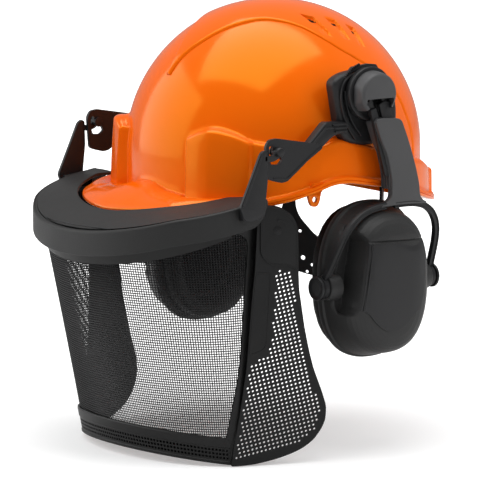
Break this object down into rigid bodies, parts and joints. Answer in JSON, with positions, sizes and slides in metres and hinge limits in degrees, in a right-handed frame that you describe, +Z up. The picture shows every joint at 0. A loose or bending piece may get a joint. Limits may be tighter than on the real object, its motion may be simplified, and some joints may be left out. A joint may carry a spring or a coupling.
{
  "type": "hard hat",
  "caption": "Hard hat with a forward peak, a flip-up mesh face visor under a brow guard, and ear muffs on sprung, height-adjusting arms.",
  "frame": {"origin": "middle of the headband's lower edge, where the wearer's head sits", "axes": "+Z up, -Y the way the wearer faces, +X the wearer's left"},
  "size_m": [0.2832, 0.3216, 0.334],
  "materials": {
    "orange_shell": "glossy",
    "black_harness": "satin",
    "sweat_foam": "soft",
    "webbing": "woven",
    "black_fitting": "satin",
    "grey_brow": "fine grain",
    "black_mesh": "woven mesh",
    "black_surround": "satin",
    "steel": "drawn",
    "black_cup": "fine grain",
    "cup_panel": "satin",
    "cushion_skin": "soft",
    "liner_foam": "open foam"
  },
  "bodies": {
    "helmet": {"helmet_shell": "orange_shell", "chin_lug_left": "orange_shell", "chin_lug_right": "orange_shell", "headband": "black_harness", "sweatband": "sweat_foam", "crown_strap_across": "webbing", "crown_strap_along": "webbing", "strap_clips": "black_harness", "nape_strap_left": "black_harness", "nape_strap_right": "black_harness", "nape_buckle": "black_harness", "slot_adapter_left": "black_fitting", "slot_adapter_right": "black_fitting"},
    "visor_carrier": {"visor_holder_left": "black_fitting", "visor_holder_right": "black_fitting"},
    "visor": {"brow_guard": "grey_brow", "visor_arm_left": "black_fitting", "visor_arm_right": "black_fitting", "pivot_pins": "black_fitting", "mesh_screen": "black_mesh", "visor_surround": "black_surround", "side_flap_left": "black_surround", "side_flap_right": "black_surround", "flap_plate_left": "black_surround", "flap_plate_right": "black_surround", "flap_clips": "black_surround"},
    "swivel_left": {"swivel_ring_left": "black_fitting", "swivel_cap_left": "black_fitting", "hinge_pin_left": "steel"},
    "arm_left": {"muff_arm_left": "black_fitting", "tilt_spring_left": "steel"},
    "carriage_left": {"muff_slider_left": "black_fitting", "muff_yoke_left": "black_fitting"},
    "ear_cup_left": {"cup_shell_left": "black_cup", "cup_panel_left": "cup_panel", "cup_back_plate_left": "black_cup", "ear_cushion_left": "cushion_skin", "cup_foam_left": "liner_foam", "cup_studs_left": "black_fitting"},
    "swivel_right": {"swivel_ring_right": "black_fitting", "swivel_cap_right": "black_fitting", "hinge_pin_right": "steel"},
    "arm_right": {"muff_arm_right": "black_fitting", "tilt_spring_right": "steel"},
    "carriage_right": {"muff_slider_right": "black_fitting", "muff_yoke_right": "black_fitting"},
    "ear_cup_right": {"cup_shell_right": "black_cup", "cup_panel_right": "cup_panel", "cup_back_plate_right": "black_cup", "ear_cushion_right": "cushion_skin", "cup_foam_right": "liner_foam", "cup_studs_right": "black_fitting"}
  },
  "joints": [
    {"name": "visor_reach", "type": "slide", "parent": "helmet", "child": "visor_carrier", "axis": [0, -1, 0], "range_m": [0, 0.01]},
    {"name": "visor_flip", "type": "hinge", "parent": "visor_carrier", "child": "visor", "pos_m": [0, -0.079, 0.043], "axis": [-1, 0, 0], "range_deg": [0, 105]},
    {"name": "muff_swing_left", "type": "hinge", "parent": "helmet", "child": "swivel_left", "pos_m": [0.11, 0.007, 0.08], "axis": [1, 0, 0], "range_deg": [-3, 4]},
    {"name": "muff_tilt_left", "type": "hinge", "parent": "swivel_left", "child": "arm_left", "pos_m": [0.123, 0.007, 0.08], "axis": [0, -0.9622, -0.2723], "range_deg": [0, 32], "stiffness_Nm_per_rad": 1, "springref_deg": -34.38},
    {"name": "muff_height_left", "type": "slide", "parent": "arm_left", "child": "carriage_left", "axis": [0, 0.2723, -0.9622], "range_m": [0, 0.022]},
    {"name": "cup_pivot_left", "type": "hinge", "parent": "carriage_left", "child": "ear_cup_left", "pos_m": [0.114, 0.014, -0.0615], "axis": [0, -1, 0], "range_deg": [-8, 5]},
    {"name": "muff_swing_right", "type": "hinge", "parent": "helmet", "child": "swivel_right", "pos_m": [-0.11, 0.007, 0.08], "axis": [1, 0, 0], "range_deg": [-3, 4]},
    {"name": "muff_tilt_right", "type": "hinge", "parent": "swivel_right", "child": "arm_right", "pos_m": [-0.123, 0.007, 0.08], "axis": [0, 0.9622, 0.2723], "range_deg": [0, 32], "stiffness_Nm_per_rad": 1, "springref_deg": -34.38},
    {"name": "muff_height_right", "type": "slide", "parent": "arm_right", "child": "carriage_right", "axis": [0, 0.2723, -0.9622], "range_m": [0, 0.022]},
    {"name": "cup_pivot_right", "type": "hinge", "parent": "carriage_right", "child": "ear_cup_right", "pos_m": [-0.114, 0.014, -0.0615], "axis": [0, 1, 0], "range_deg": [-8, 5]}
  ]
}
